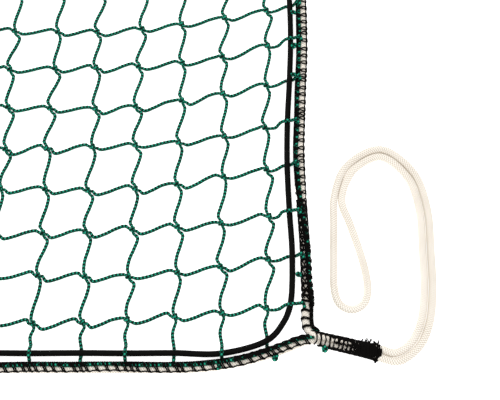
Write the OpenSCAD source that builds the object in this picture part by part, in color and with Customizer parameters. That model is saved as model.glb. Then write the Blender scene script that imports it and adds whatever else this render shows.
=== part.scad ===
// A knotted cargo net lying flat on the ground: square meshes of green twine, a white rope border
// under black overlock stitching, a black elastic cord threaded through the outermost meshes, and
// a bound throat with a long lashing loop at each corner.
//
// X runs along the long sides, Y from front to back and Z up. The origin is on the ground at the
// middle of the net. The net is drawn as its right half and a mirror image, hinged along Y.

/* [Netting] */
// Mesh size, from knot to knot
mesh = 45; // [44:0.5:46]
// Knots in one half of a course
knots_per_half = 12; // [8:1:12]
// Courses of knots between the front and the back rope
courses = 15; // [11:2:15]
// Thickness of the twine
twine_d = 3.2; // [2.8:0.1:3.2]
// Thickness of a knot
knot_d = 7.6; // [7:0.1:7.8]
// Last knot of a course to the middle of the side rope
side_gap = 36; // [35:0.5:38]
// Rise of the middle courses towards the sides
course_bow = 36; // [0:1:36]

/* [Border] */
// Thickness of the border rope
rope_d = 8; // [7:0.5:8]
// Thickness of the stitching thread
thread_d = 1; // [0.8:0.1:1]
// How far the front and back ropes curve in at a corner
corner_rise = 30; // [24:1:32]
// Length over which they curve in
corner_reach = 130; // [125:1:135]

/* [Elastic] */
// Thickness of the elastic cord
elastic_d = 6; // [5:0.5:6]
// Side rope to the elastic cord, middle to middle
elastic_side_inset = 13; // [13:0.5:14]
// Front or back rope to the elastic cord, middle to middle
elastic_end_inset = 15; // [15:0.5:16]
// Radius of the elastic cord's corners
elastic_corner_r = 60; // [55:1:62]
// Length of the crimped ferrule that joins the cord's ends
ferrule_length = 24; // [16:1:26]

/* [Corner throats] */
// Length from the side rope's corner to the end of the binding
throat_length = 66; // [60:1:70]
// Slope of the throat, away from the netting
throat_angle = 13; // [10:1:15]
// Thickness of each rope strand where the binding squeezes it
throat_strand_d = 6.2; // [5.8:0.1:6.4]
// Length of the dense whipping at the end of the binding
whipping_length = 18; // [12:1:22]

/* [Hidden] */
$fn = 32;
SIDES = ["left", "right"];
ENDS = ["front", "back"];
CORNERS = [for (e = ENDS) for (s = SIDES) [e, s]];

function two_digits(n) = n < 10 ? str("0", n) : str(n);
function course_name(n, side) = str("course_", two_digits(n), "_", side);

GREEN = "#1a6b4a";
WHITE = "#efe8da";
BLACK = "#141414";
STEEL = "#a8a9a6";

// Room left between neighbouring pieces, and on each side of the fold line
clearance = 0.4;
fold_gap = 0.25;
end_to_end = 0.1;

// Overall places. half_x and half_y run to the middle of the border ropes.
half_x = (knots_per_half - 0.5) * mesh + side_gap;
half_y = (courses + 1) * mesh / 2;
corner_x = half_x + 6;

// Heights. The border's stitching rests on the ground and everything else lies clear of it.
wrap_inner_r = rope_d / 2 + 0.3;
wrap_outer_r = wrap_inner_r + thread_d;
rope_z = wrap_outer_r;
knot_z = knot_d / 2 + 0.3;
twine_z = twine_d / 2 + 0.6;
elastic_z = twine_z + twine_d / 2 + 0.3 + elastic_d / 2;
over_z = elastic_z + elastic_d / 2 + clearance + twine_d / 2;

// The front rope's curve into the corner is a circular arc that starts in line with the rope.
arc_r = (pow(corner_reach, 2) + pow(corner_rise, 2)) / (2 * corner_rise);
arc_start_x = corner_x - corner_reach;
arc_stop_x = half_x - 2;
arc_sweep = asin((arc_stop_x - arc_start_x) / arc_r);
stitch_stop = 8;

// The side rope turns into the throat on a tight arc.
turn_r = 9;
turn_sweep = 90 - throat_angle;
strand_offset = throat_strand_d / 2 + 0.2;
throat_y = -half_y + corner_rise;
turn_start_y = throat_y + strand_offset * cos(throat_angle) + turn_r * sin(turn_sweep);

// The throat swings about the corner, so it starts clear of both border ropes.
throat_start = 9;
binding_start = throat_start + 2;
binding_inner_r = throat_strand_d / 2 + 0.25;
binding_outer_r = binding_inner_r + 0.7;
whipping_r = binding_outer_r + 0.55;

selvedge_inset = wrap_outer_r + 0.3 + twine_d / 2;
leg_stop = selvedge_inset + twine_d / 2 + 1.7;
leg_start = knot_d / 2 + 0.5;

// Route of one lashing loop, measured from the net's corner: the middle line of the doubled
// stretch, then the single rope round the bight and back to the end of the doubled stretch.
loop_pitch = rope_d + 0.3;
doubled_route = [
    [64.5, -14.9], [80, -18.5], [98, -7], [109, 14], [114, 44], [115, 84],
    [114, 130], [103, 166], [74, 189], [42, 172], [29, 140]
];
single_route = [
    [24, 112], [23, 78], [23, 44], [28, 32], [39, 27], [50, 32],
    [55, 44], [54, 62], [48, 88], [40, 114]
];
loop_sides = 8;

// Border rope's distance from the front edge line, at x
function border_rise(x) =
    x < arc_start_x ? 0 : arc_r - sqrt(pow(arc_r, 2) - pow(x - arc_start_x, 2));

// How far a course has risen at x, where v is its place between front and back
bow_reach = 230;
function bow_at_side(v) =
    0.75 * corner_rise * (1 - v / half_y) + course_bow * pow(sin(90 * v / half_y), 2);
function bow(x, v) = bow_at_side(v) * pow(max(0, 1 - (half_x - x) / bow_reach), 2);

// Hand-tied knots are never quite in line.
function stray_x(i, n) = 1.6 * sin(151 * i + 83 * n);
function stray_y(i, n) = 1.3 * sin(67 * i + 199 * n + 40);

// Knot i of course n, counted from the fold line and from the front. n = 0 and n = courses + 1
// are the points where the legs meet the front and back ropes.
function knot_x(i, n) = (i + 0.5) * mesh + stray_x(i, n);
function knot_y(i, n) = -half_y + n * mesh + bow(knot_x(i, n), n * mesh) + stray_y(i, n);
function knot(i, n, z) = [knot_x(i, n), knot_y(i, n), z];
function passes_over(n) = n % 2 == 1;

// The place where leg i meets the front (end = -1) or back (end = 1) rope
function rope_point(i, end, inset, z) =
    let (n = end < 0 ? 1 : courses, x = knot_x(i, n))
    [x, end * (half_y - border_rise(x) - inset), z];
// The elastic cord's distance from the same rope line, at x
function elastic_line(x) =
    let (from_corner = x - (half_x - elastic_side_inset - elastic_corner_r))
    elastic_end_inset + (from_corner <= 0 ? 0
        : elastic_corner_r - sqrt(pow(elastic_corner_r, 2) - pow(from_corner, 2)));

function length(v) = sqrt(v * v);
function unit(v) = v / length(v);
// The point that lies a distance d from a, on the way to b
function step(a, b, d) = a + d * unit(b - a);

module rod(a, b, d = twine_d) {
    span = b - a;
    translate(a)
        rotate([0, acos(span[2] / length(span)), atan2(span[1], span[0])])
            cylinder(d = d, h = length(span));
}

module mirrored_to(side, end = "front") {
    mirror([side == "left" ? 1 : 0, 0, 0])
        mirror([0, end == "back" ? 1 : 0, 0])
            children();
}

// A tube or rod whose section is drawn by children(): straight along +X, then round an arc that
// bends towards +Y, as the front rope does. inset moves it towards the netting. The two lengths
// lie end to end.
module along_front(inset, z, end_margin) {
    run = arc_start_x - fold_gap - end_to_end;
    bend_r = arc_r - inset;
    translate([fold_gap, -half_y + inset, z])
        rotate([90, 0, 90])
            linear_extrude(height = run) children();
    translate([arc_start_x, -half_y + arc_r, z])
        rotate([0, 0, -90])
            rotate_extrude(angle = arc_sweep - 180 / PI * end_margin / arc_r, $fn = 180)
                translate([bend_r, 0]) children();
}

module leg(a, b) {
    rod(step(a, b, leg_start), step(b, a, leg_start));
}

// The last leg of a course or column, from knot a to the border. It goes under the elastic cord.
module under_leg(a, b) {
    rod(step(a, b, leg_start), b);
}

// The same leg where it goes over the elastic cord, whose middle is at c
module over_leg(a, c) {
    away = unit([a[0] - c[0], a[1] - c[1], 0]);
    foot = step([a[0], a[1], twine_z + 2], c, leg_start);
    near = [c[0], c[1], over_z] + 4 * away;
    far = [c[0], c[1], over_z] - 3.5 * away;
    drop = [c[0], c[1], elastic_z + 2] - 5.4 * away;
    rod(foot, near);
    rod(near, far);
    rod(far, drop);
    for (bend = [near, far])
        translate(bend) sphere(d = 1.4 * twine_d);
}

module side_leg(n) {
    a = knot(knots_per_half - 1, n, twine_z);
    v = n * mesh;
    rise = bow_at_side(v) * 0.2;
    if (passes_over(n))
        over_leg(a, [half_x - elastic_side_inset, a[1] + rise * 0.8, elastic_z]);
    else
        under_leg(a, [half_x - leg_stop, a[1] + rise * 0.9, twine_z]);
}

module end_leg(i, end) {
    a = knot(i, end < 0 ? 1 : courses, twine_z);
    if (i % 2 == 0)
        over_leg(a, [a[0], end * (half_y - elastic_line(a[0])), elastic_z]);
    else
        under_leg(a, rope_point(i, end, leg_stop, twine_z));
}

// One course: its knots, the legs between them, and the legs down to the course in front
module course(n) {
    color(GREEN) {
        for (i = [0:knots_per_half - 1]) {
            translate(knot(i, n, knot_z)) sphere(d = knot_d);
            if (n > 1)
                leg(knot(i, n, twine_z), knot(i, n - 1, twine_z));
            else
                end_leg(i, -1);
            if (n == courses)
                end_leg(i, 1);
        }
        for (i = [1:knots_per_half - 1])
            leg(knot(i - 1, n, twine_z), knot(i, n, twine_z));
        first = knot(0, n, twine_z);
        under_leg(first, [fold_gap, first[1], twine_z]);
        side_leg(n);
    }
}

module border_rope_end() {
    color(WHITE)
        along_front(0, rope_z, 0) circle(d = rope_d);
}

module border_rope_side() {
    color(WHITE) {
        rod([half_x, turn_start_y, rope_z], [half_x, -turn_start_y, rope_z], rope_d);
        for (end = ENDS)
            mirrored_to("right", end)
                translate([half_x + turn_r, turn_start_y, rope_z])
                    rotate([0, 0, 180])
                        rotate_extrude(angle = turn_sweep, $fn = 64)
                            translate([turn_r, 0]) circle(d = rope_d);
    }
}

module wrap_section() {
    difference() {
        circle(r = wrap_outer_r);
        circle(r = wrap_inner_r);
    }
}

module edge_stitching_end() {
    color(BLACK)
        along_front(0, rope_z, stitch_stop) wrap_section();
}

module edge_stitching_side() {
    run = -2 * turn_start_y - 2 * stitch_stop;
    color(BLACK)
        translate([half_x, run / 2, rope_z])
            rotate([90, 0, 0])
                linear_extrude(height = run) wrap_section();
}

module selvedge_twine() {
    side_run_y = -turn_start_y - stitch_stop;
    color(GREEN) {
        for (end = ENDS)
            mirrored_to("right", end)
                along_front(selvedge_inset, twine_z, 20) circle(d = twine_d);
        rod([half_x - selvedge_inset, -side_run_y, twine_z],
            [half_x - selvedge_inset, side_run_y, twine_z]);
    }
}

module elastic_cord() {
    side_x = half_x - elastic_side_inset;
    end_y = half_y - elastic_end_inset;
    color(BLACK) {
        rod([side_x, elastic_corner_r - end_y, elastic_z],
            [side_x, end_y - elastic_corner_r, elastic_z], elastic_d);
        for (end = ENDS)
            mirrored_to("right", end) {
                rod([fold_gap, -end_y, elastic_z],
                    [side_x - elastic_corner_r, -end_y, elastic_z], elastic_d);
                translate([side_x - elastic_corner_r, elastic_corner_r - end_y, elastic_z])
                    rotate([0, 0, -90])
                        rotate_extrude(angle = 90, $fn = 96)
                            translate([elastic_corner_r, 0]) circle(d = elastic_d);
            }
    }
}

// The ferrule sits on the back run, between two legs.
module elastic_ferrule() {
    middle_x = 2 * mesh;
    color(STEEL)
        translate([middle_x - ferrule_length / 2, half_y - elastic_end_inset, elastic_z])
            rotate([0, 90, 0])
                difference() {
                    cylinder(r = elastic_d / 2 + 1.3, h = ferrule_length);
                    translate([0, 0, -1])
                        cylinder(r = elastic_d / 2 + 0.25, h = ferrule_length + 2);
                }
}

// Both strands of the throat, as a pair of rods from distance start to distance stop along it
module strand_pair(r, start, stop) {
    for (side = [-1, 1])
        translate([start, side * strand_offset, 0])
            rotate([0, 90, 0])
                cylinder(r = r, h = stop - start);
}

module in_throat() {
    translate([corner_x, throat_y, whipping_r])
        rotate([0, 0, -throat_angle])
            children();
}

module throat_rope() {
    color(WHITE)
        in_throat() strand_pair(throat_strand_d / 2, throat_start, throat_length);
}

module throat_binding() {
    color(BLACK)
        in_throat()
            difference() {
                union() {
                    strand_pair(binding_outer_r, binding_start, throat_length);
                    strand_pair(whipping_r, throat_length - whipping_length, throat_length);
                }
                strand_pair(binding_inner_r, 0, throat_length + 1);
            }
}

function direction(line, i) =
    unit(line[min(i + 1, len(line) - 1)] - line[max(i - 1, 0)]);
function beside(line, offset) = [
    for (i = [0:len(line) - 1])
        let (t = direction(line, i)) line[i] + offset * [t[1], -t[0]]
];
function reversed(line) = [for (i = [len(line) - 1:-1:0]) line[i]];

loop_route = concat(
    beside(doubled_route, loop_pitch / 2),
    single_route,
    reversed(beside(doubled_route, -loop_pitch / 2))
);

// A tube of flat-sided rings along a route on the ground
module ground_tube(route, d, sides) {
    last = len(route) - 1;
    points = [
        for (i = [0:last])
            let (t = direction(route, i))
            for (k = [0:sides - 1])
                let (a = 360 * k / sides)
                [
                    route[i][0] + d / 2 * cos(a) * t[1],
                    route[i][1] - d / 2 * cos(a) * t[0],
                    d / 2 + d / 2 * sin(a)
                ]
    ];
    walls = [
        for (i = [0:last - 1]) for (k = [0:sides - 1])
            let (a = i * sides + k, b = i * sides + (k + 1) % sides)
            for (face = [[a, b, b + sides], [a, b + sides, a + sides]]) face
    ];
    caps = [
        [for (k = [sides - 1:-1:0]) k],
        [for (k = [0:sides - 1]) last * sides + k]
    ];
    polyhedron(points = points, faces = concat(walls, caps));
}

module lashing_loop() {
    color(WHITE)
        translate([corner_x, throat_y, 0])
            ground_tube(loop_route, rope_d, loop_sides);
}

for (n = [1:courses]) for (s = SIDES)
    mirrored_to(s) course(n);
for (s = SIDES) {
    mirrored_to(s) border_rope_side();
    mirrored_to(s) edge_stitching_side();
    mirrored_to(s) selvedge_twine();
    mirrored_to(s) elastic_cord();
}
elastic_ferrule();
for (c = CORNERS) {
    name = str(c[0], "_", c[1]);
    mirrored_to(c[1], c[0]) border_rope_end();
    mirrored_to(c[1], c[0]) edge_stitching_end();
    mirrored_to(c[1], c[0]) throat_rope();
    mirrored_to(c[1], c[0]) throat_binding();
    mirrored_to(c[1], c[0]) lashing_loop();
}
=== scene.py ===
"""Visual model of a knotted cargo net lying flat: braided green twine tied into square meshes, a
white rope border under black blanket stitches, a threaded elastic cord, and a bound throat with a
long rope loop at each corner. Lengths are in millimetres until a mesh is made, then in metres."""
import math
from collections import namedtuple

import bpy
import numpy as np
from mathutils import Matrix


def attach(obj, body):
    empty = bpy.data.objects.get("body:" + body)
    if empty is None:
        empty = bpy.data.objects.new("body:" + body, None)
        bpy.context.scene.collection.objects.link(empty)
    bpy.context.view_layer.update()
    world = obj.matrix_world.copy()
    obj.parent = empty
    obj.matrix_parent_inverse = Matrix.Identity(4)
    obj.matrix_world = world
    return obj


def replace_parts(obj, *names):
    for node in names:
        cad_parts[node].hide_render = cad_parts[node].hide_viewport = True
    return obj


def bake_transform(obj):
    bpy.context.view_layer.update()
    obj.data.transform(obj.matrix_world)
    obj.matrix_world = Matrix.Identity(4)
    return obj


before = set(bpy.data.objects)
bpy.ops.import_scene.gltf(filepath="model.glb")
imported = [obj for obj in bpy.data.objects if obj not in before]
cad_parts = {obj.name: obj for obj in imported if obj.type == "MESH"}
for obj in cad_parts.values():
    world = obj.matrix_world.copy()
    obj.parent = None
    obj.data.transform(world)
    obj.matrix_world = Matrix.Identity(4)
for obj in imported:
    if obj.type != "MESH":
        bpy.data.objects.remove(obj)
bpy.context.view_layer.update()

MM = 0.001
TAU = 2 * math.pi
SIDES = ("left", "right")
ENDS = ("front", "back")
CORNERS = [(end, side) for end in ENDS for side in SIDES]
rng = np.random.default_rng(11)

# The net's own sizes, as part.scad has them
MESH = 45
KNOTS_PER_HALF = 12
COLUMNS = 2 * KNOTS_PER_HALF
COURSES = 15
SIDE_GAP = 36
COURSE_BOW = 36
BOW_REACH = 230
CORNER_RISE = 30
CORNER_REACH = 130
TWINE_D = 3.2
ROPE_D = 8
ELASTIC_D = 6
THREAD_D = 1.0
ELASTIC_SIDE_INSET = 13
ELASTIC_END_INSET = 15
ELASTIC_CORNER_R = 60
ELASTIC_DIP = 1.9
THROAT_LENGTH = 66
THROAT_ANGLE = math.radians(13)
STRAND_D = 6.2
WHIPPING_LENGTH = 18

HALF_X = (KNOTS_PER_HALF - 0.5) * MESH + SIDE_GAP
HALF_Y = (COURSES + 1) * MESH / 2
CORNER_X = HALF_X + 6
THROAT_Y = CORNER_RISE - HALF_Y
ARC_R = (CORNER_REACH ** 2 + CORNER_RISE ** 2) / (2 * CORNER_RISE)
ARC_START_X = CORNER_X - CORNER_REACH
ROPE_Z = ROPE_D / 2 + 0.3 + THREAD_D
TWINE_Z = 2.0
ELASTIC_Z = 7.1
FOLD_REACH = 19  # twine within this distance of the fold line goes to the fold's piece
FOLD_CUT = 26    # where a side's border piece ends and the fold's piece starts
FERRULE_LENGTH = 24
FERRULE_X = 2 * MESH  # between two legs of the back run

# Route of a lashing loop from the net's corner, as part.scad has it
LOOP_PITCH = ROPE_D + 0.3
DOUBLED_ROUTE = [(64.5, -14.9), (80, -18.5), (98, -7), (109, 14), (114, 44), (115, 84),
                 (114, 130), (103, 166), (74, 189), (42, 172), (29, 140)]
SINGLE_ROUTE = [(24, 112), (23, 78), (23, 44), (28, 32), (39, 27), (50, 32),
                (55, 44), (54, 62), (48, 88), (40, 114)]


# -------- camera, floor and light

def add_object(name, data):
    obj = bpy.data.objects.new(name, data)
    bpy.context.scene.collection.objects.link(obj)
    return obj


def aim(obj, target):
    direction = np.array(target) - np.array(obj.location)
    yaw = math.atan2(direction[0], direction[1])
    pitch = math.atan2(direction[2], math.hypot(direction[0], direction[1]))
    obj.rotation_euler = (math.pi / 2 + pitch, 0, -yaw)


def make_camera():
    """The photograph looks down on the front right corner at 72 degrees."""
    view_angle = math.radians(32)
    data = bpy.data.cameras.new("camera")
    data.sensor_width = 36
    data.lens = data.sensor_width / 2 / math.tan(view_angle / 2)
    data.clip_start = 0.01
    camera = add_object("camera", data)
    camera.location = (0.500, -0.4634, 0.8384)
    aim(camera, (0.500, -0.190, 0))
    bpy.context.scene.camera = camera


def make_area_light(name, place, size, power):
    data = bpy.data.lights.new(name, "AREA")
    data.shape = "DISK"
    data.size = size
    data.energy = power
    light = add_object(name, data)
    light.location = place
    aim(light, (0.35, 0, 0))


def make_studio():
    mesh = bpy.data.meshes.new("floor")
    reach = 6
    mesh.from_pydata([(-reach, -reach, 0), (reach, -reach, 0), (reach, reach, 0),
                      (-reach, reach, 0)], [], [(0, 1, 2, 3)])
    material = bpy.data.materials.new("floor")
    material.use_nodes = True
    surface = material.node_tree.nodes["Principled BSDF"].inputs
    surface["Base Color"].default_value = (0.95, 0.95, 0.945, 1)
    surface["Roughness"].default_value = 0.9
    surface["Specular IOR Level"].default_value = 0.1
    surface["Emission Color"].default_value = (1, 1, 1, 1)
    surface["Emission Strength"].default_value = 0.75
    mesh.materials.append(material)
    add_object("floor", mesh)
    world = bpy.data.worlds.new("studio")
    world.use_nodes = True
    background = world.node_tree.nodes["Background"].inputs
    background["Color"].default_value = (1, 1, 1, 1)
    background["Strength"].default_value = 1.0
    bpy.context.scene.world = world
    bpy.context.scene.view_settings.view_transform = "Standard"
    make_area_light("key", (-1.2, 1.6, 2.6), 2.2, 36)
    make_area_light("fill", (1.8, -1.2, 2.2), 2.0, 8)


# -------- curves

def smooth(points, spacing):
    """Points a fixed distance apart on a smooth curve through the given ones."""
    p = np.array(points, float)
    p = np.vstack([2 * p[0] - p[1], p, 2 * p[-1] - p[-2]])
    gaps = np.maximum(np.linalg.norm(np.diff(p, axis=0), axis=1), 1e-6) ** 0.5
    t = np.concatenate([[0], np.cumsum(gaps)])
    share = np.linspace(0, 1, 13)[:-1]
    p0, p1, p2, p3 = (p[i:len(p) - 3 + i, None] for i in range(4))
    t0, t1, t2, t3 = (t[i:len(t) - 3 + i, None, None] for i in range(4))
    now = t1 + (t2 - t1) * share[None, :, None]

    def between(first, last, start, end):
        return ((end - now) * first + (now - start) * last) / (end - start)
    a1, a2, a3 = between(p0, p1, t0, t1), between(p1, p2, t1, t2), between(p2, p3, t2, t3)
    curve = between(between(a1, a2, t0, t2), between(a2, a3, t1, t3), t1, t2)
    return resample(np.vstack([curve.reshape(-1, 3), p[-2:-1]]), spacing)


def resample(line, spacing):
    along = travelled(line)
    count = max(2, int(round(along[-1] / spacing)) + 1)
    places = np.linspace(0, along[-1], count)
    return np.stack([np.interp(places, along, line[:, axis]) for axis in range(3)], axis=1)


def travelled(line):
    return np.concatenate([[0], np.cumsum(np.linalg.norm(np.diff(line, axis=0), axis=1))])


def directions(line):
    ahead = np.gradient(line, axis=0)
    return ahead / np.linalg.norm(ahead, axis=1, keepdims=True)


def frames(line):
    """Two directions across the line at each point. They turn with the line, and ease back so
    that the same side of a cord stays on top."""
    ahead = directions(line)
    across = np.empty_like(ahead)
    px, py, pz = (0.0, 0.0, 1.0) if abs(ahead[0][2]) < 0.9 else (1.0, 0.0, 0.0)
    ease = 0.10
    for i, (x, y, z) in enumerate(ahead.tolist()):
        pz += ease
        dot = px * x + py * y + pz * z
        px, py, pz = px - dot * x, py - dot * y, pz - dot * z
        size = math.sqrt(px ** 2 + py ** 2 + pz ** 2)
        px, py, pz = px / size, py / size, pz / size
        across[i] = (px, py, pz)
    return across, np.cross(ahead, across)


# -------- braids

def braid_height(turn, place, bundles, lay):
    """Height, from 0 in a hole to 1 on a crest, of a tubular braid. Two families of bundles wind
    round it, left and right handed, and pass over and under each other."""
    a = bundles * (turn + place / lay)
    b = bundles * (turn - place / lay)
    over = np.where((np.floor(a) + np.floor(b)) % 2 < 0.5, 1, -1)

    def bundle(across, along, sign):
        width = np.sqrt(np.clip(1 - (2 * (across % 1) - 1) ** 2, 0, 1))
        return width * (0.55 + 0.45 * sign * np.abs(np.sin(math.pi * along)))
    return np.maximum(bundle(a, b, over), bundle(b, a, -over))


# The make of a cord. spacing is between its rings of points, which have so many sides. A braid has
# bundles wound each way, one turn in every lay, and holes as deep as depth, a share of the radius.
Cord = namedtuple("Cord", "radius sides spacing bundles lay depth", defaults=(0, 1.0, 0.0))

# The twine and the thread are fuzzy, and look thicker than they measure.
TWINE = Cord(TWINE_D * 1.18 / 2, 14, 0.72, bundles=2, lay=7.2, depth=0.26)
ROPE = Cord(ROPE_D / 2, 24, 0.6, bundles=6, lay=14.4, depth=0.10)
THREAD = Cord(THREAD_D * 1.38 / 2, 5, 0.9)
ELASTIC = Cord(ELASTIC_D / 2, 20, 1.5, bundles=10, lay=22, depth=0.012)
FERRULE = Cord(ELASTIC_D / 2 + 1.3, 32, 0.5)


# -------- meshes

# The painted shade attribute's value for a cord without a braid, and for every cord's ends. A
# braid's runs from 0 in its holes to 1 on its crests, and the materials darken the holes with it as
# painted shade.
SMOOTH_TONE = 0.8
END_TONE = 0.5
FLOOR_GAP = 0.02


class Piece:
    """Gathers lengths of cord and makes one mesh of them. Each length is a stack of rings."""

    def __init__(self, name):
        self.name = name
        self.stacks = []

    def add(self, line, cord, thickness=None):
        """Adds one length along line, whose points are the cord's spacing apart. thickness is
        its share of the cord's own at each point."""
        self.stacks.append(rings_of(line, cord, thickness) + (cord,))

    def take(self, rings, first, last, cord):
        """Adds part of a cord whose rings are made already, from one ring to another."""
        if last > first:
            part = tuple(item[first:last + 1] for item in rings)
            self.stacks.append(part + (cord,))


def share_out(rings, owners, pieces, cord):
    """Gives every run of rings to the piece that owns it, with the next run's first ring, so
    that there is no gap between pieces."""
    first = 0
    for i in range(1, len(owners) + 1):
        if i == len(owners) or owners[i] != owners[first]:
            pieces[owners[first]].take(rings, first, min(i, len(owners) - 1), cord)
            first = i


def rings_of(line, cord, thickness=None):
    """The cord's rings of points along a line, which is lifted where it would go through the
    floor, with their height in the braid and their place along it"""
    line = np.column_stack([line[:, :2], np.maximum(line[:, 2], cord.radius + FLOOR_GAP)])
    across, over = frames(line)
    turn = np.arange(cord.sides) / cord.sides
    place = travelled(line)
    if cord.bundles:
        height = braid_height(turn[None, :], place[:, None], cord.bundles, cord.lay)
    else:
        height = np.full((len(line), cord.sides), SMOOTH_TONE)
    radius = cord.radius * (1 - cord.depth * (1 - height))
    if thickness is not None:
        radius = radius * np.asarray(thickness)[:, None]
    angle = TAU * turn
    ring = (np.cos(angle)[None, :, None] * across[:, None, :]
            + np.sin(angle)[None, :, None] * over[:, None, :])
    return line[:, None, :] + radius[:, :, None] * ring, height, place


def end_cap(ring, centre):
    """Triangles that close a ring of corner numbers round a centre point's number"""
    return np.stack([np.full(len(ring), centre), np.roll(ring, -1), ring], axis=1)


def build(piece, material):
    """Makes the piece's object. Every stack becomes a closed tube with its own strip of the map
    named OFBake."""
    corners, painted_shades, quads, quad_maps, triangles, cap_maps = [], [], [], [], [], []
    strips = StripMap(piece.stacks)
    base = 0
    for points, height, place, cord in piece.stacks:
        count, sides = height.shape
        corners.append(points.reshape(-1, 3))
        painted_shades.append(height.ravel())
        ring = base + np.arange(sides)
        rows = ring[None, :] + sides * np.arange(count - 1)[:, None]
        nxt = np.roll(rows, -1, axis=1)
        quads.append(np.stack([rows, nxt, nxt + sides, rows + sides], axis=2).reshape(-1, 4))
        quad_maps.append(strips.tube(place, cord))
        base += count * sides
        for row, rim in ((0, ring), (-1, rows[-1, ::-1] + sides)):
            corners.append(points[row].mean(axis=0, keepdims=True))
            painted_shades.append(np.array([END_TONE]))
            triangles.append(end_cap(rim, base))
            cap_maps.append(strips.cap(cord))
            base += 1
    corners = np.vstack(corners) * MM
    quads = np.vstack(quads)
    triangles = np.vstack(triangles)
    mesh = bpy.data.meshes.new(piece.name)
    mesh.vertices.add(len(corners))
    mesh.vertices.foreach_set("co", corners.astype(np.float32).ravel())
    mesh.loops.add(4 * len(quads) + 3 * len(triangles))
    mesh.loops.foreach_set("vertex_index",
                           np.concatenate([quads.ravel(), triangles.ravel()]).astype(np.int32))
    mesh.polygons.add(len(quads) + len(triangles))
    starts = np.concatenate([4 * np.arange(len(quads)),
                             4 * len(quads) + 3 * np.arange(len(triangles))])
    mesh.polygons.foreach_set("loop_start", starts.astype(np.int32))
    mesh.update(calc_edges=True)
    mesh.polygons.foreach_set("use_smooth", np.ones(len(mesh.polygons), bool))
    # The braid's height, kept so that the materials paint shade into its holes
    tone = mesh.attributes.new("tone", "FLOAT", "POINT")
    tone.data.foreach_set("value", np.concatenate(painted_shades).astype(np.float32))
    layer = mesh.uv_layers.new(name="OFBake")
    places = np.vstack([m.reshape(-1, 2) for m in quad_maps + cap_maps]) * strips.scale()
    layer.uv.foreach_set("vector", places.astype(np.float32).ravel())
    mesh.materials.append(material)
    obj = add_object(piece.name, mesh)
    return obj


class StripMap:
    """Lays tubes out flat in rows on a square, in millimetres."""
    GAP = 0.6

    def __init__(self, stacks):
        area = sum((place[-1] - place[0] + 2 * cord.radius) * (TAU * cord.radius + self.GAP)
                   for _, _, place, cord in stacks)
        self.width = math.sqrt(area) * 1.01 + 3
        self.x = 0.0
        self.y = 0.0
        self.row = 0.0

    def new_row(self, height):
        self.x = 0.0
        self.y += self.row
        self.row = height

    def tube(self, place, cord):
        round_it = TAU * cord.radius
        height = round_it + self.GAP
        if abs(height - self.row) > 1e-6:
            self.new_row(height)
        along = self.x + (place - place[0])
        row = np.floor(along[:-1] / self.width)
        left = along[:-1] - row * self.width
        right = along[1:] - row * self.width
        bottom = self.y + row[:, None] * height + round_it * np.arange(cord.sides) / cord.sides
        top = bottom + round_it / cord.sides
        left, right = (np.broadcast_to(side[:, None], bottom.shape) for side in (left, right))
        self.y += height * row[-1]
        self.x = right[-1, 0] + self.GAP
        return np.stack([np.stack([left, bottom], -1), np.stack([left, top], -1),
                         np.stack([right, top], -1), np.stack([right, bottom], -1)], axis=2)

    def cap(self, cord):
        if self.x + 2 * cord.radius > self.width:
            self.new_row(self.row)
        centre = np.array([self.x + cord.radius, self.y + cord.radius])
        self.x += 2 * cord.radius + self.GAP
        angle = TAU * np.arange(cord.sides) / cord.sides
        rim = centre + cord.radius * np.stack([np.cos(angle), np.sin(angle)], -1)
        return np.stack([np.broadcast_to(centre, rim.shape), np.roll(rim, -1, axis=0), rim], axis=1)

    def scale(self):
        return 1 / max(self.width + 4, self.y + self.row)


# -------- materials

PATCH_SCALE = 45
FIBRE_HEIGHT = 0.0002
ROUGHNESS_RANGE = 0.3


def new_material(name):
    material = bpy.data.materials.new(name)
    material.use_nodes = True
    return material, material.node_tree


def add_ramp(tree, source, stops):
    ramp = tree.nodes.new("ShaderNodeValToRGB")
    elements = ramp.color_ramp.elements
    while len(elements) < len(stops):
        elements.new(0.5)
    for element, (place, colour) in zip(elements, stops):
        element.position = place
        element.color = (*colour, 1)
    tree.links.new(source, ramp.inputs["Fac"])
    return ramp.outputs["Color"]


def add_noise(tree, scale, detail, stretch=(1, 1, 1)):
    where = tree.nodes.new("ShaderNodeTexCoord")
    mapping = tree.nodes.new("ShaderNodeMapping")
    mapping.inputs["Scale"].default_value = stretch
    noise = tree.nodes.new("ShaderNodeTexNoise")
    noise.inputs["Scale"].default_value = scale
    noise.inputs["Detail"].default_value = detail
    tree.links.new(where.outputs["Object"], mapping.inputs["Vector"])
    tree.links.new(mapping.outputs["Vector"], noise.inputs["Vector"])
    return noise.outputs["Fac"]


def add_math(tree, operation, *values):
    node = tree.nodes.new("ShaderNodeMath")
    node.operation = operation
    for socket, value in zip(node.inputs, values):
        if isinstance(value, (int, float)):
            socket.default_value = value
        else:
            tree.links.new(value, socket)
    return node.outputs["Value"]


def varied_roughness(tree, noise, roughness):
    """roughness on average, and more or less than that with the noise"""
    return add_math(tree, "MULTIPLY_ADD", noise, ROUGHNESS_RANGE, roughness - ROUGHNESS_RANGE / 2)


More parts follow.
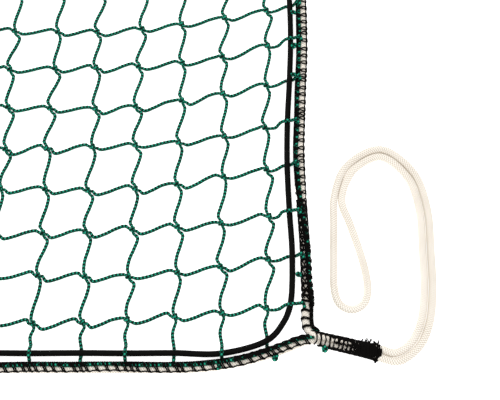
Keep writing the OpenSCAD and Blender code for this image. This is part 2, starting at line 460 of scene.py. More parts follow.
def fibre_material(name, stops, mottle, roughness, bump, shine, fibre_scale):
    """A cord of fine fibres. stops colour it from the holes of its braid to the crests, darker in
    the holes as painted shade, and mottle is how much patches and fibres vary that."""
    material, tree = new_material(name)
    surface = tree.nodes["Principled BSDF"].inputs
    patches = add_noise(tree, PATCH_SCALE, 2)
    fibres = add_noise(tree, fibre_scale, 4)
    # The braid's height, which darkens its holes as painted shade
    tone = tree.nodes.new("ShaderNodeAttribute")
    tone.attribute_name = "tone"
    varied = tone.outputs["Fac"]
    for noise in (patches, fibres):
        centred = add_math(tree, "SUBTRACT", noise, 0.5)
        varied = add_math(tree, "ADD", varied, add_math(tree, "MULTIPLY", centred, mottle))
    tree.links.new(add_ramp(tree, varied, stops), surface["Base Color"])
    tree.links.new(varied_roughness(tree, fibres, roughness), surface["Roughness"])
    surface["Specular IOR Level"].default_value = shine
    shape = tree.nodes.new("ShaderNodeBump")
    shape.inputs["Strength"].default_value = bump
    shape.inputs["Distance"].default_value = FIBRE_HEIGHT
    tree.links.new(fibres, shape.inputs["Height"])
    tree.links.new(shape.outputs["Normal"], surface["Normal"])
    return material


def make_materials():
    # The low stops are painted shade in the holes of the twine's, the rope's and the elastic's braids;
    # the thread has no braid.
    makes = {
        "green_twine": ([(0.60, (0.0002, 0.006, 0.004)), (0.76, (0.0025, 0.105, 0.064)),
                         (0.92, (0.015, 0.34, 0.21))], 0.12, 0.75, 0.4, 0.10, 2200),
        "white_rope": ([(0.45, (0.55, 0.48, 0.39)), (0.76, (0.87, 0.82, 0.74)),
                        (1.0, (0.93, 0.90, 0.85))], 0.16, 0.85, 0.35, 0.15, 1500),
        "black_thread": ([(0.3, (0.0006, 0.0005, 0.0005)), (1.0, (0.0032, 0.0027, 0.0024))],
                         0.5, 0.8, 0.4, 0.05, 3000),
        "elastic": ([(0.2, (0.0008, 0.0008, 0.0007)), (0.95, (0.003, 0.0028, 0.0025))],
                    0.2, 0.6, 0.12, 0.05, 1800),
    }
    made = {name: fibre_material(name, *make) for name, make in makes.items()}
    return {**made, "ferrule_steel": steel_material()}


def steel_material():
    material, tree = new_material("ferrule_steel")
    surface = tree.nodes["Principled BSDF"].inputs
    surface["Metallic"].default_value = 1
    scratches = add_noise(tree, 900, 4, (0.1, 1, 1))
    stops = [(0.2, (0.42, 0.42, 0.40)), (0.8, (0.66, 0.66, 0.64))]
    tree.links.new(add_ramp(tree, scratches, stops), surface["Base Color"])
    tree.links.new(varied_roughness(tree, scratches, 0.37), surface["Roughness"])
    return material


# -------- where things are

def sin_deg(angle):
    return math.sin(math.radians(angle))


def cos_deg(angle):
    return math.cos(math.radians(angle))


def sway(y):
    """The side rope and the elastic cord lie in a shallow wave, and straighten at the corners."""
    height, length, reach = 2.9, 300, 330
    return height * math.cos(TAU * y / length) * (1 - min(1, abs(y) / reach) ** 4)


def border_rise(x):
    over = abs(x) - ARC_START_X
    return 0 if over < 0 else ARC_R - math.sqrt(ARC_R ** 2 - over ** 2)


def bow_at_side(v):
    return 0.75 * CORNER_RISE * (1 - v / HALF_Y) + COURSE_BOW * sin_deg(90 * v / HALF_Y) ** 2


def bow(x, v):
    return bow_at_side(v) * max(0, 1 - (HALF_X - x) / BOW_REACH) ** 2


def index_in_half(column):
    return column - KNOTS_PER_HALF if column >= KNOTS_PER_HALF else KNOTS_PER_HALF - 1 - column


def knot(column, course):
    """Place of a knot. Columns run from 0 at the left, and courses from 1 at the front."""
    i = index_in_half(column)
    x = (i + 0.5) * MESH + 1.6 * sin_deg(151 * i + 83 * course)
    y = (course * MESH - HALF_Y + bow(x, course * MESH)
         + 1.3 * sin_deg(67 * i + 199 * course + 40))
    return np.array([x if column >= KNOTS_PER_HALF else -x, y])


def elastic_inset(x):
    """The elastic cord's distance from the front or back edge, at x"""
    over = abs(x) - (HALF_X - ELASTIC_SIDE_INSET - ELASTIC_CORNER_R)
    if over <= 0:
        return ELASTIC_END_INSET
    return ELASTIC_END_INSET + ELASTIC_CORNER_R - math.sqrt(ELASTIC_CORNER_R ** 2 - over ** 2)


def side_crossing(course, sign):
    """Where the leg from the last knot of a course meets the elastic cord, and the side rope.
    sign is 1 at the right side and the back, and -1 at the left side and the front."""
    column = COLUMNS - 1 if sign > 0 else 0
    y = knot(column, course)[1]
    rise = bow_at_side(course * MESH) * 0.2
    elastic_y = y + rise * 0.8
    at_elastic = (sign * (HALF_X - ELASTIC_SIDE_INSET + sway(elastic_y)), elastic_y)
    return at_elastic, (sign * (HALF_X + sway(y + rise)), y + rise)


def end_crossing(column, sign):
    """The same for the leg from the first or last knot of a column"""
    x = knot(column, 1 if sign < 0 else COURSES)[0]
    return (x, sign * (HALF_Y - elastic_inset(x))), (x, sign * (HALF_Y - border_rise(x)))


# -------- netting

# A netting knot, in directions towards its upper left (first number) and its upper right
# (second), and height. One twine makes a bight, and the other goes up through it and round it.
BIGHT = [(3.9, 2.0, 2.3), (1.7, 1.0, 3.1), (-0.7, 1.05, 3.7), (-2.1, 0, 3.8),
         (-0.7, -1.05, 3.7), (1.7, -1.0, 3.1), (3.9, -2.0, 2.3)]
WRAP = [(-3.9, 2.0, 2.2), (-2.0, 0.8, 1.8), (-0.5, 0.2, 3.4), (0.5, -0.8, 5.6),
        (0.8, -2.0, 4.3), (1.0, -1.9, 2.3), (1.2, 0, 1.8), (1.0, 1.9, 2.3), (0.7, 2.0, 4.3),
        (-0.3, 0.9, 5.7), (-1.3, -0.8, 5.5), (-2.3, -1.4, 3.8), (-3.9, -2.0, 2.3)]
TWINE_IN_KNOT = 0.86
LEVEL_SWING = np.array([3.8, 3.0])
UPRIGHT_SWING = np.array([-3.8, -2.7])


def knot_points(shape, place, turn):
    points = []
    c, s = math.cos(turn), math.sin(turn)
    for up_left, up_right, z in shape:
        x = (up_right - up_left) / math.sqrt(2)
        y = (up_right + up_left) / math.sqrt(2)
        points.append((place[0] + c * x - s * y, place[1] + s * x + c * y, z))
    return points


def leg_points(start, end, dip, rise):
    """The twine keeps its set from the knots: it swings to one side as it leaves a knot and to
    the other before the next. dip and rise are those two swings."""
    a, b = np.array(start), np.array(end)
    along = (b - a) / np.linalg.norm(b - a)
    side = np.array([-along[1], along[0]])
    points = []
    for share, offset in ((0.17, -dip), (0.40, -0.55 * dip), (0.63, 0.4 * rise), (0.84, rise)):
        x, y = a + (b - a) * share + side * offset
        points.append((x, y, TWINE_Z))
    return points


def passes_over(number):
    """The outermost legs pass over and under the elastic cord in turn, the first of them over."""
    return number % 2 == 1


def border_leg(from_knot, at_elastic, at_rope, over, hooked):
    """The last leg, from a knot over or under the elastic cord to the border. It is sewn in over
    the chain and hooks along the selvedge, or goes in under the chain."""
    e, r = np.array(at_elastic), np.array(at_rope)
    away = (r - e) / np.linalg.norm(r - e)
    along = np.array([away[1], -away[0]])
    start = np.array(from_knot)
    points = [(*(start + (e - start) * 0.45 + along * 2.0), TWINE_Z)]
    if over:
        points += [(*(e - 7.5 * away), 5.0), (*(e - 3.5 * away), 9.0), (*e, 9.9),
                   (*(e + 3.2 * away), 9.2)]
    else:
        points += [(*(e - 4 * away), TWINE_Z), (*(e + 1.5 * away), TWINE_Z),
                   (*(e + 4.2 * away), 3.6)]
    if hooked:
        points += [(*(r - 5.4 * away), 10.6), (*(r - 3.6 * away + along * 0.6), 12.9),
                   (*(r - 2.8 * away + along * 2.6), 13.0), (*(r - 2.6 * away + along * 5.0), 11.8)]
    else:
        points += [(*(r - 7.6 * away), 5.2), (*(r - 5.0 * away), 4.7), (*(r - 3.8 * away), 4.6)]
    return points


def staircases():
    """The net is tied from twines that step down and to the left. Each entry is a list of
    (kind, column, course) along one twine, kind being bight or wrap."""
    starts = [(COLUMNS - 1, course, "wrap") for course in range(1, COURSES + 1)]
    starts += [(column, COURSES, "bight") for column in range(COLUMNS)]
    for column, course, kind in starts:
        steps = []
        while column >= 0 and course >= 1:
            steps.append((kind, column, course))
            if kind == "wrap":
                course -= 1
                kind = "bight"
            else:
                column -= 1
                kind = "wrap"
        yield steps


def leg_to_border(kind, column, course, sign):
    """A twine's first leg (sign 1) or last (sign -1), from its outermost knot to the border"""
    at_side = kind == ("wrap" if sign > 0 else "bight")
    if at_side:
        return border_leg(knot(column, course), *side_crossing(course, sign),
                          passes_over(course), at_side)
    return border_leg(knot(column, course), *end_crossing(column, sign),
                      passes_over(index_in_half(column) + 1), at_side)


def twine_route(steps):
    """Points along one twine, and for each the number of knots passed plus a half in a leg"""
    varied = rng.uniform(0.6, 1.5, (len(steps) + 1, 2))
    turned = rng.normal(0, 0.10, len(steps))
    points = leg_to_border(*steps[0], 1)[::-1]
    stage = [-0.5] * len(points)
    for i, (kind, column, course) in enumerate(steps):
        shape = BIGHT if kind == "bight" else WRAP
        tied = knot_points(shape, knot(column, course), turned[i])
        if i + 1 == len(steps):
            leg = leg_to_border(kind, column, course, -1)
        else:
            here, there = knot(column, course), knot(*steps[i + 1][1:])
            if kind == "bight":
                leg = leg_points(there, here, *(varied[i] * LEVEL_SWING))[::-1]
            else:
                leg = leg_points(here, there, *(varied[i] * UPRIGHT_SWING))
        points += tied + leg
        stage += [i] * len(tied) + [i + 0.5] * len(leg)
    return points, stage


def tie_twine(steps, pieces):
    """Makes one twine, and shares it out to the pieces that it passes through."""
    points, stage = twine_route(steps)
    line = smooth(points, TWINE.spacing)
    reach = 120
    where = [0]
    for point in points[1:]:
        near = np.linalg.norm(line[where[-1]:where[-1] + reach] - point, axis=1)
        where.append(where[-1] + int(np.argmin(near)))
    in_knot = np.interp(np.arange(len(line)), where, [float(s == int(s)) for s in stage])
    rings = rings_of(line, TWINE, 1 - (1 - TWINE_IN_KNOT) * in_knot)
    share_out(rings, ring_owners(steps, stage, where, line), pieces, TWINE)


def ring_owners(steps, stage, where, line):
    """The piece that owns each ring: (course, side), or fold near the middle of a level leg"""
    owners = []
    for number, first, last in zip(stage, where, where[1:] + [len(line)]):
        course = steps[max(int(number), 0)][2]
        for x in line[first:last, 0]:
            side = "right" if x > 0 else "left"
            owners.append("fold" if abs(x) < FOLD_REACH else (course, side))
    return owners


def build_netting():
    """A piece for the part of each course at each side of the fold, and one for the fold. A
    course has its knots, its level legs and the legs down to the course in front."""
    courses = {(course, side): Piece(f"twine_course_{course:02d}_{side}")
               for course in range(1, COURSES + 1) for side in SIDES}
    fold = Piece("twine_fold")
    for steps in staircases():
        tie_twine(steps, {**courses, "fold": fold})
    for (course, side), piece in courses.items():
        finish_piece(piece, "green_twine", side, [f"course_{course:02d}_{side}"])
    finish_piece(fold, "green_twine", "fold")


# -------- border

class Edge:
    """The border's middle line round one part of the net, run anticlockwise, with the level
    direction towards the netting at each point."""

    def __init__(self, line, twist):
        self.line = line
        self.along = travelled(line)
        ahead = directions(line)
        self.inward = np.stack([-ahead[:, 1], ahead[:, 0], np.zeros(len(line))], axis=1)
        self.twist = twist

    def length(self):
        return self.along[-1]

    def point(self, s, u, w):
        """s along the edge, u towards the netting and w up, turned with the border's twist"""
        s = min(max(s, 0), self.length())
        centre = np.array([np.interp(s, self.along, self.line[:, k]) for k in range(3)])
        inward = np.array([np.interp(s, self.along, self.inward[:, k]) for k in range(3)])
        turn = self.twist(s)
        c, n = math.cos(turn), math.sin(turn)
        spot = centre + inward * (u * c - w * n)
        spot[2] += u * n + w * c
        return spot

    def route(self, points):
        return [self.point(*p) for p in points]


# The stitch goes round the rope and the selvedge twine together. u is towards the netting.
CHAIN = (5.6, 2.3)
OVER_SELVEDGE = (4.3, 6.3)
TOP_INNER = (1.9, 5.4)
TOP = (-0.4, 4.75)
TOP_OUTER = (-2.2, 4.1)
UNDER = (0.0, -4.7)
UNDER_INNER = (3.6, -3.6)
UNDER_SELVEDGE = (5.8, -0.4)
SELVEDGE = (3.5, 3.9)

# How one kind of edge is sewn. pitch is between stitches. A stitch is two threads, neck apart at
# the chain and belly apart near the edge line, and slants by lean, and more thread covers the
# selvedge as far as cover to each side. edge is where the edge line runs, and knot how far its
# tail hangs over. The lower thread goes down from there past outside and under.
Seam = namedtuple("Seam", "pitch lean neck belly cover edge knot outside under")
END_SEAM = Seam(pitch=9.3, lean=3.6, neck=2.2, belly=2.3, cover=2.4,
                edge=(-2.5, 3.95), knot=1.5, outside=(-1.8, 0.5), under=(-1.4, -4.2))
SIDE_SEAM = Seam(pitch=8.3, lean=1.2, neck=0.7, belly=3.2, cover=2.0,
                 edge=(-4.4, 1.4), knot=0.3, outside=(-4.6, -0.6), under=(-3.2, -3.2))


def stitch_over(s, seam):
    """The top thread of one stitch: out over the rope, round the edge line and back"""
    edge_u, edge_w = seam.edge
    tip = s + seam.lean
    narrow, wide = seam.neck / 2, seam.belly / 2
    cover = seam.cover
    inward = [(s - cover, *CHAIN), (s - cover - 0.3, *OVER_SELVEDGE), (s - 0.6 * cover, *TOP_INNER),
              (s - 0.5 * cover, *OVER_SELVEDGE), (s - 0.4 * cover, CHAIN[0] + 0.5, CHAIN[1])]
    out = [(s - narrow, *OVER_SELVEDGE), (s + 0.3 * seam.lean - narrow, *TOP_INNER),
           (s + 0.6 * seam.lean - 0.75 * wide, *TOP), (s + 0.8 * seam.lean - wide, *TOP_OUTER),
           (tip - 0.75 * wide, edge_u, edge_w + 0.2)]
    turn = [(tip + seam.knot, edge_u - 0.6, edge_w - seam.knot),
            (tip + 0.75 * wide, edge_u, edge_w + 0.5)]
    back = [(s + 0.8 * seam.lean + wide, TOP_OUTER[0], TOP_OUTER[1] + 0.1),
            (s + 0.6 * seam.lean + 0.75 * wide, *TOP),
            (s + 0.3 * seam.lean + narrow, *TOP_INNER), (s + narrow, *OVER_SELVEDGE),
            (s + narrow, CHAIN[0] + 0.4, CHAIN[1]), (s + cover, *OVER_SELVEDGE),
            (s + cover, CHAIN[0], CHAIN[1] + 0.3)]
    return inward + out + turn + back


def stitch_under(s, following, seam):
    """The lower thread of one stitch: a turn round the knot, along the edge to the following
    stitch, under the rope to the chain and back"""
    edge_u, edge_w = seam.edge
    tip = s + seam.lean
    target = following + seam.lean
    return [(tip - 0.6, edge_u + 0.7, edge_w + 0.9), (tip + 0.7, edge_u + 0.5, edge_w + 1.1),
            (tip + 1.1, edge_u - 0.5, edge_w), (tip + (target - tip) * 0.5, edge_u + 0.3, edge_w + 0.1),
            (target - 0.9, edge_u - 0.2, edge_w + 0.6), (target, *seam.outside),
            (target - 0.3, *seam.under), (following + 1.4, *UNDER),
            (following + 0.5, *UNDER_INNER), (following, *UNDER_SELVEDGE),
            (following + 0.5, CHAIN[0] + 0.4, CHAIN[1] - 0.8),
            (following + 1.0, *UNDER_SELVEDGE), (following + 1.8, *UNDER_INNER),
            (following + 2.8, *UNDER), (target + 0.9, *seam.under), (target + 0.9, *seam.outside)]


def chain_points(low, high, phase):
    """One of the threads that twist together into the chain line"""
    points = []
    twist = 5.2
    count = max(2, int((high - low) / (twist / 4)))
    for i in range(count + 1):
        s = low + (high - low) * i / count
        turn = TAU * (s / twist + phase)
        points.append((s, CHAIN[0] + 0.9 * math.cos(turn), CHAIN[1] + 0.8 * math.sin(turn)))
    return points


def sew(edge, low, high, seam, tight_spots):
    """Stitches one stretch of the edge, closer where a leg is sewn in. Returns the threads'
    lines."""
    places = [low]
    while places[-1] < high - seam.pitch:
        here = places[-1]
        near = min((abs(here - spot) for spot in tight_spots), default=1000)
        step = seam.pitch * (0.62 if near < 6 else 1) * (1 + rng.normal(0, 0.09))
        places.append(here + step)
    over, under = [], []
    for here, following in zip(places, places[1:] + [None]):
        over += stitch_over(here, seam)
        if following is not None:
            under += stitch_under(here, following, seam)
    lines = [smooth(edge.route(over), THREAD.spacing), smooth(edge.route(under), THREAD.spacing)]
    for phase in (0, 1 / 3, 2 / 3):
        lines.append(smooth(edge.route(chain_points(low, high, phase)), THREAD.spacing))
    return lines


# -------- ropes and corners

def to_corner(points, end, side):
    """Moves points given for the front right corner to any corner"""
    sign = (1 if side == "right" else -1, 1 if end == "front" else -1, 1)
    return np.asarray(points, float) * sign


def throat_points(points):
    """Points given along the front right throat from the corner, across it and up"""
    c, n = math.cos(THROAT_ANGLE), math.sin(THROAT_ANGLE)
    return [(CORNER_X + t * c + across * n, THROAT_Y - t * n + across * c, z)
            for t, across, z in points]


def throat_place(point):
    """How far along its throat from the corner a point is, and the corner"""
    x, y = abs(point[0]) - CORNER_X, -abs(point[1]) - THROAT_Y
    corner = ("front" if point[1] < 0 else "back", "right" if point[0] > 0 else "left")
    return x * math.cos(THROAT_ANGLE) - y * math.sin(THROAT_ANGLE), corner


def owner_of(point):
    """The piece a point of the border belongs to: a corner's, the fold's or a side's"""
    place, corner = throat_place(point)
    if place > -2.5:
        return corner
    return "fold" if abs(point[0]) < FOLD_CUT else ("right" if point[0] > 0 else "left")


def outer_strand(last=THROAT_LENGTH + 1):
    """The front rope from its arc into the throat, where it is the outer strand"""
    arc = [(x, border_rise(x) - HALF_Y, ROPE_Z)
           for x in np.arange(ARC_START_X, CORNER_X - 12, 9)]
    throat = [(3, -2.2, 4.3), (14, -2.6, 4.1), (30, -2.9, 4.1), (48, -3.1, 4.3),
              (THROAT_LENGTH + 1, -4.1, 4.1)]
    return arc + throat_points([p for p in throat if p[0] <= last])


def inner_strand(last=THROAT_LENGTH + 1):
    """The side rope, from the middle of the side round its sharp turn into the throat"""
    side = [(HALF_X + sway(y), y, ROPE_Z) for y in np.arange(0, -300, -9)]
    turn = [(HALF_X + 0.3, -308, ROPE_Z), (HALF_X + 0.6, -317, ROPE_Z + 0.4),
            (HALF_X + 2.6, -323.5, ROPE_Z + 1.4)]
    throat = [(3, 2.2, 7.6), (14, 2.4, 6.7), (30, 2.9, 5.5), (48, 3.1, 4.6),
              (THROAT_LENGTH + 1, 4.1, 4.1)]
    return side + turn + throat_points([p for p in throat if p[0] <= last])


def end_route(end, last=THROAT_LENGTH + 1):
    """The front or back rope from its left throat to its right throat"""
    middle = [(x, -HALF_Y, ROPE_Z) for x in np.arange(-ARC_START_X + 9, ARC_START_X - 8, 9)]
    half = outer_strand(last)
    route = [(-x, y, z) for x, y, z in half[::-1]] + middle + half
    return to_corner(route, end, "right")


def side_route(side, last=THROAT_LENGTH + 1):
    """The side rope from its front throat to its back throat"""
    half = inner_strand(last)
    return to_corner(half[::-1] + [(x, -y, z) for x, y, z in half[1:]], "front", side)


def side_twist(length):
    """Near its corners the side border rolls over, so that its chain comes to the top and then
    to the outside."""
    def twist(s):
        from_corner = min(s, length - s)
        rolled = np.interp(from_corner, [0, 28, 42, 60, 118, 136, 158, 185],
                           [2.7, 2.6, 1.7, 1.35, 1.1, 0.8, 0.2, 0])
        return float(rolled) + 0.10 * math.sin(s / 27) + 0.08 * math.sin(s / 11.3)
    return twist


def end_twist(s):
    return 0.13 * math.sin(s / 31) + 0.10 * math.sin(s / 12.7)


def make_edges():
    """The four edges in anticlockwise order, each with its seam"""
    edges = {}
    for name, turned in (("front", False), ("right", False), ("back", True), ("left", True)):
        route = side_route(name, 5) if name in SIDES else end_route(name, 5)
        line = smooth(route[::-1] if turned else route, 3.0)
        twist = side_twist(travelled(line)[-1]) if name in SIDES else end_twist
        edges[name] = (Edge(line, twist), SIDE_SEAM if name in SIDES else END_SEAM)
    return edges


def deal(line, cord, pieces, thickness=None):
    """Makes one cord along line, and shares it out to the pieces that own its points."""
    owners = [owner_of(point) for point in line.tolist()]
    share_out(rings_of(line, cord, thickness), owners, pieces, cord)


def bodies_of(owner):
    if owner == "fold":
        return ("left_panel", "right_panel")
    if owner in SIDES:
        return (f"{owner}_panel",)
    end, side = owner
    return (f"{side}_panel", f"{end}_{side}_corner")


def finish_piece(piece, slot, owner, replaces=()):
    """Builds a piece, hides what it stands for and fixes it to its owner's body. A piece between
    the two panels, or between a panel and the corner that swings on it, only has its place baked into
    its mesh."""
    obj = build(piece, materials[slot])
    if replaces:
        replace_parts(obj, *replaces)
    bodies = bodies_of(owner)
    if len(bodies) == 1:
        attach(obj, *bodies)
    elif owner == "fold":
        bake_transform(obj)
    else:
        first, last = (to_corner(throat_points([(t, 0, 0)]), *owner)[0] * MM for t in (-1.5, 22))
        tuple(first)
        tuple(last)
        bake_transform(obj)


def finish_pieces(pieces, slot, kind, node_kind):
    """Finishes the pieces of the panels and the fold that have anything in them. A panel's
    piece hides the CAD node of the same name, but with its own word for the kind."""
    for owner in (*SIDES, "fold"):
        if owner in pieces and pieces[owner].stacks:
            nodes = [pieces[owner].name.replace(kind, node_kind)] if owner in SIDES else []
            finish_piece(pieces[owner], slot, owner, nodes)


def label(owner):
    return owner if isinstance(owner, str) else "_".join(owner)


def new_pieces(name):
    """Empty pieces, one for each owner that a border cord can have"""
    return {owner: Piece(f"{name}_{label(owner)}") for owner in (*SIDES, "fold", *CORNERS)}


def build_ropes():
    """The border rope. Two ropes lie side by side in each throat, squeezed thinner."""
    ends = {end: new_pieces(f"rope_{end}") for end in ENDS}
    throats = {corner: Piece("throat_ropes_" + "_".join(corner)) for corner in CORNERS}
    thin = STRAND_D / ROPE_D
    routes = [(end_route(end), ends[end]) for end in ENDS]
    routes += [(side_route(side), {side: Piece(f"rope_{side}")}) for side in SIDES]
    for route, pieces in routes:
        line = smooth(route, ROPE.spacing)
        places = [throat_place(point)[0] for point in line]
        share = np.interp(places, [-16, 0, 54, 66], [1, thin, thin + 0.03, 0.98])
        deal(line, ROPE, {**pieces, **throats}, share)
        finish_pieces(pieces, "white_rope", "rope", "border_rope")
    for corner, piece in throats.items():
        finish_piece(piece, "white_rope", corner, ["throat_rope_" + "_".join(corner)])


def tight_spots_on(name, edge):
    """Places along an edge where legs are sewn in"""
    if name in SIDES:
        sign = 1 if name == "right" else -1
        spots = [side_crossing(course, sign)[1] for course in range(1, COURSES + 1)]
    else:
        sign = -1 if name == "front" else 1
        spots = [end_crossing(column, sign)[1] for column in range(COLUMNS)]
    return [edge.along[np.argmin(np.hypot(edge.line[:, 0] - x, edge.line[:, 1] - y))]
            for x, y in spots]


def gathered_threads(edge, rolled):
    """Slack threads lie in waves along the edge near the corners: round the rope where the side
    border is rolled over, and over the selvedge beside the corner."""
    lines = []
    length = edge.length()
    bands = [(4, 80, angle, 7.4) for angle in (38, 50, 62)]
    if rolled:
        bands = [(40, 142, angle, 4.75) for angle in (-70, -45, -20, 5, 65, 95, 125)]
        bands += [(6, 44, angle, 4.75) for angle in (5, 20, 35, 50)]
    for low, high, angle, radius in bands:
        for first, last in ((low, high), (length - high, length - low)):
            phase = rng.uniform(0, 1)
            route = []
            for s in np.arange(first, last, 1.5):
                wave = math.radians(angle + 13 * math.sin(TAU * (s / 8.3 + phase)))
                route.append((s, radius * math.cos(wave), radius * math.sin(wave)))
            lines.append(smooth(edge.route(route), THREAD.spacing))
    return lines


def build_stitching(edges, bindings):
    for name, (edge, seam) in edges.items():
        spots = tight_spots_on(name, edge)
        threads = sew(edge, 2, edge.length() - 2, seam, spots)
        pieces = {**new_pieces(f"stitching_{name}"), **bindings}
        threads += gathered_threads(edge, name in SIDES)
        if name in SIDES:
            pieces[name] = Piece(f"stitching_{name}")
        for thread in threads:
            deal(thread, THREAD, pieces)
        finish_pieces(pieces, "black_thread", "stitching", "edge_stitching")


def around_throat(t, angle, out=0.5):
    """A point on the outside of the two strands. angle goes from the inner side over the top.
    At the corner the inner strand lies half over the outer one."""
    places = [3, 14, 30, 48, THROAT_LENGTH]
    width = np.interp(t, places, [5.2, 5.6, 6.0, 6.1, 6.9])
    middle = np.interp(t, places, [6.0, 5.4, 4.8, 4.4, 4.1])
    height = np.interp(t, places, [4.4, 3.9, 3.6, 3.2, 3.6])
    tilt = np.interp(t, places, [1.5, 1.0, 0.5, 0.1, 0])
    return (t, (width + out) * math.cos(angle),
            middle + (height + out) * math.sin(angle) + tilt * math.cos(angle))


def binding_turns(low, high, pitch, bow_out, hand=1, out=0.5, jitter=0.0):
    """A thread wound round the throat. bow_out is how far its top curves towards the loop."""
    points = []
    steps = int((high - low) / pitch * 12)
    for i in range(steps + 1):
        angle = hand * TAU * i / 12
        t = low + pitch * i / 12 + bow_out * max(0, math.sin(angle)) + rng.normal(0, jitter)
        points.append(around_throat(t, angle, out + rng.normal(0, jitter * 0.3)))
    return throat_points(points)


def frayed_end(t, angle, reach):
    """A loose thread's end that sticks out of the whipping"""
    side = rng.uniform(-0.5, 0.5)
    points = [around_throat(t - 2, angle, 0.4), around_throat(t, angle + side * 0.3, 1.2),
              around_throat(t + 0.45 * reach, angle + side * 0.5, 1.4 + 0.5 * reach),
              around_throat(t + 0.6 * reach * rng.uniform(0.2, 1), angle + side, 1.0 + reach)]
    return throat_points(points)


def throat_threads():
    """All the black threads of the front right throat"""
    whipping = THROAT_LENGTH - WHIPPING_LENGTH
    threads = [binding_turns(1, whipping + 2, 4.3, 2.2, jitter=0.25),
               binding_turns(4.5, 24, 8.6, 1.6, out=0.8, jitter=0.25),
               binding_turns(22, whipping + 3, 3.8, 1.5, hand=-1, out=0.8, jitter=0.35),
               binding_turns(38, whipping + 4, 2.6, 1.8, out=1.0, jitter=0.45)]
    for layer, out in enumerate((0.5, 0.95)):
        threads.append(binding_turns(whipping - 2 * layer, THROAT_LENGTH - 1.5 * layer, 1.1, 0.6,
                                     out=out, jitter=0.25))
    for angle, low in ((0.30, -3), (0.05, 0), (0.62, 3), (0.9, 18), (1.2, 38), (1.6, 22),
                       (2.05, 42), (2.35, 32), (math.pi + 0.1, 6), (math.pi - 0.25, 9),
                       (math.pi - 0.5, 18)):
        for phase in (0, 0.5):
            period = rng.uniform(4, 7)
            wave = [around_throat(t, angle + 0.16 * math.sin(TAU * (t / period + phase)),
                                  0.8 + 0.4 * math.cos(TAU * (t / period + phase)))
                    for t in np.arange(low, whipping + 6, 1.6)]
            threads.append(throat_points(wave))
    for _ in range(16):
        threads.append(frayed_end(rng.uniform(whipping - 2, THROAT_LENGTH - 4),
                                  rng.uniform(-0.15, 0.6), rng.uniform(1.5, 4.0)))
    for _ in range(8):
        threads.append(frayed_end(rng.uniform(THROAT_LENGTH - 6, THROAT_LENGTH - 2),
                                  math.pi + rng.uniform(-0.5, 0.2), rng.uniform(1.0, 2.6)))
    return threads


def build_bindings(bindings):
    """The threads round each throat, with the border's last stitches already in the pieces"""
    threads = throat_threads()
    for corner, piece in bindings.items():
        for thread in threads:
            line = smooth(to_corner(thread, *corner), THREAD.spacing)
            piece.add(line, THREAD)
        finish_piece(piece, "black_thread", corner, ["throat_binding_" + "_".join(corner)])


# Places of knotted twine ends in the front right border, and the way each points
STUBS = [((524, -350), -100), ((571, -341.5), -60), ((547.5, -269), 175), ((546.5, 20), 180),
         ((545.5, -54), 190), ((470, -358), -80)]


def build_selvedge(edges):
    """The green twine that runs along inside the border rope, under the stitches, with a few
    knotted ends that stick out"""
    pieces = new_pieces("selvedge")
    for edge, _ in edges.values():
        count = int(edge.length() / 6)
        route = []
        for i in range(count + 1):
            s = edge.length() * i / count
            route.append(edge.point(s, SELVEDGE[0] + 0.4 * math.sin(s / 9.1),
                                    SELVEDGE[1] + 0.4 * math.cos(s / 6.7)))
        deal(smooth(route, TWINE.spacing), TWINE, pieces)
    for corner in CORNERS:
        for spot, angle in STUBS:
            stub = twine_stub(spot, angle)
            line = smooth(to_corner(stub, *corner), TWINE.spacing)
            pieces[owner_of(line[0])].add(line, TWINE)
    finish_pieces(pieces, "green_twine", "selvedge", "selvedge_twine")
    for corner in CORNERS:
        finish_piece(pieces[corner], "green_twine", corner)


def twine_stub(spot, angle):
    """A short end of twine bent back over itself"""
    c, n = math.cos(math.radians(angle)), math.sin(math.radians(angle))
    shape = [(-3.5, 1.2, 8.0), (-1.0, 1.4, 9.0), (1.6, 0.9, 9.2), (2.2, -0.6, 8.2),
             (0.4, -1.6, 7.4), (-1.8, -0.9, 7.6), (2.0, -2.2, 6.4)]
    return [(spot[0] + 0.8 * (c * a - n * b), spot[1] + 0.8 * (n * a + c * b), z)
            for a, b, z in shape]


def elastic_crossing(place, under_leg):
    return (*place, ELASTIC_Z - ELASTIC_DIP if under_leg else ELASTIC_Z)


def elastic_end_run(sign, end_x):
    """The elastic cord's places along the right half of the front (sign -1) or the back (1)"""
    run = [(0, sign * (HALF_Y - ELASTIC_END_INSET), ELASTIC_Z)]
    for column in range(KNOTS_PER_HALF, COLUMNS):
        at_elastic, _ = end_crossing(column, sign)
        if at_elastic[0] < end_x:
            run.append(elastic_crossing(at_elastic, passes_over(index_in_half(column) + 1)))
    return run


def elastic_bend(sign, corner_x, corner_y):
    """Its places round the front right corner (sign -1) or the back right one (1)"""
    return [(corner_x + ELASTIC_CORNER_R * sin_deg(angle),
             sign * (corner_y + ELASTIC_CORNER_R * cos_deg(angle)), ELASTIC_Z - 0.6)
            for angle in (38, 58, 76)]


def elastic_route(sign):
    """One half of the elastic cord, from the fold along the front, the side and the back. It
    dips under the legs that pass over it."""
    corner_x = HALF_X - ELASTIC_SIDE_INSET - ELASTIC_CORNER_R
    corner_y = HALF_Y - ELASTIC_END_INSET - ELASTIC_CORNER_R
    end_x = corner_x + ELASTIC_CORNER_R * sin_deg(30)
    route = elastic_end_run(-1, end_x) + elastic_bend(-1, corner_x, corner_y)
    for course in range(1, COURSES + 1):
        at_elastic, _ = side_crossing(course, 1)
        if abs(at_elastic[1]) < corner_y + 6:
            route.append(elastic_crossing(at_elastic, passes_over(course)))
    route += elastic_bend(1, corner_x, corner_y)[::-1] + elastic_end_run(1, end_x)[::-1]
    return [(sign * x, y, z) for x, y, z in route]


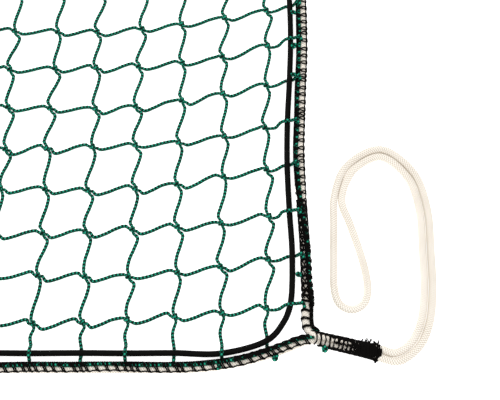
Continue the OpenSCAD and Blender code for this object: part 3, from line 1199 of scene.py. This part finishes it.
def build_elastic():
    pieces = new_pieces("elastic")
    line = smooth(elastic_route(1) + elastic_route(-1)[::-1][1:], ELASTIC.spacing)
    deal(line, ELASTIC, pieces)
    finish_pieces(pieces, "elastic", "elastic", "elastic_cord")


def build_ferrule():
    """The crimped steel sleeve that joins the elastic cord's ends, on the back run"""
    piece = Piece("ferrule")
    places = np.arange(-FERRULE_LENGTH / 2, FERRULE_LENGTH / 2 + 0.01, FERRULE.spacing)
    shape = np.interp(np.abs(places), [0, 1, 2.2, 4.6, 5.8, 8.2, 9.4, 11.2, FERRULE_LENGTH / 2],
                      [1, 1, 0.87, 0.87, 1, 1, 1.03, 1.03, 0.97])
    line = [(FERRULE_X + place, HALF_Y - ELASTIC_END_INSET, ELASTIC_Z) for place in places]
    piece.add(np.array(line), FERRULE, shape)
    finish_piece(piece, "ferrule_steel", "right", ["elastic_ferrule"])


def beside(route, offset):
    """A level route at a distance to the right of another"""
    line = np.array(route, float)
    return [(x + offset * ahead_y, y - offset * ahead_x)
            for (x, y), (ahead_x, ahead_y) in zip(line, directions(line))]


def build_loops():
    """Each lashing loop is one rope: out of the throat, doubled back at the bight, and in again."""
    route = beside(DOUBLED_ROUTE, LOOP_PITCH / 2) + SINGLE_ROUTE
    route += beside(DOUBLED_ROUTE, -LOOP_PITCH / 2)[::-1]
    route = [(CORNER_X + x, THROAT_Y + y, ROPE_D / 2) for x, y in route]
    for end, side in CORNERS:
        line = smooth(to_corner(route, end, side), ROPE.spacing)
        piece = Piece(f"loop_{end}_{side}")
        piece.add(line, ROPE)
        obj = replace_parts(build(piece, materials["white_rope"]),
                          f"lashing_loop_{end}_{side}")
        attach(obj, f"{end}_{side}_corner")
        travelled(line)[-1] * MM


make_camera()
make_studio()
materials = make_materials()
build_loops()
build_netting()
edges = make_edges()
bindings = {corner: Piece("binding_" + "_".join(corner)) for corner in CORNERS}
build_ropes()
build_stitching(edges, bindings)
build_bindings(bindings)
build_selvedge(edges)
build_elastic()
build_ferrule()
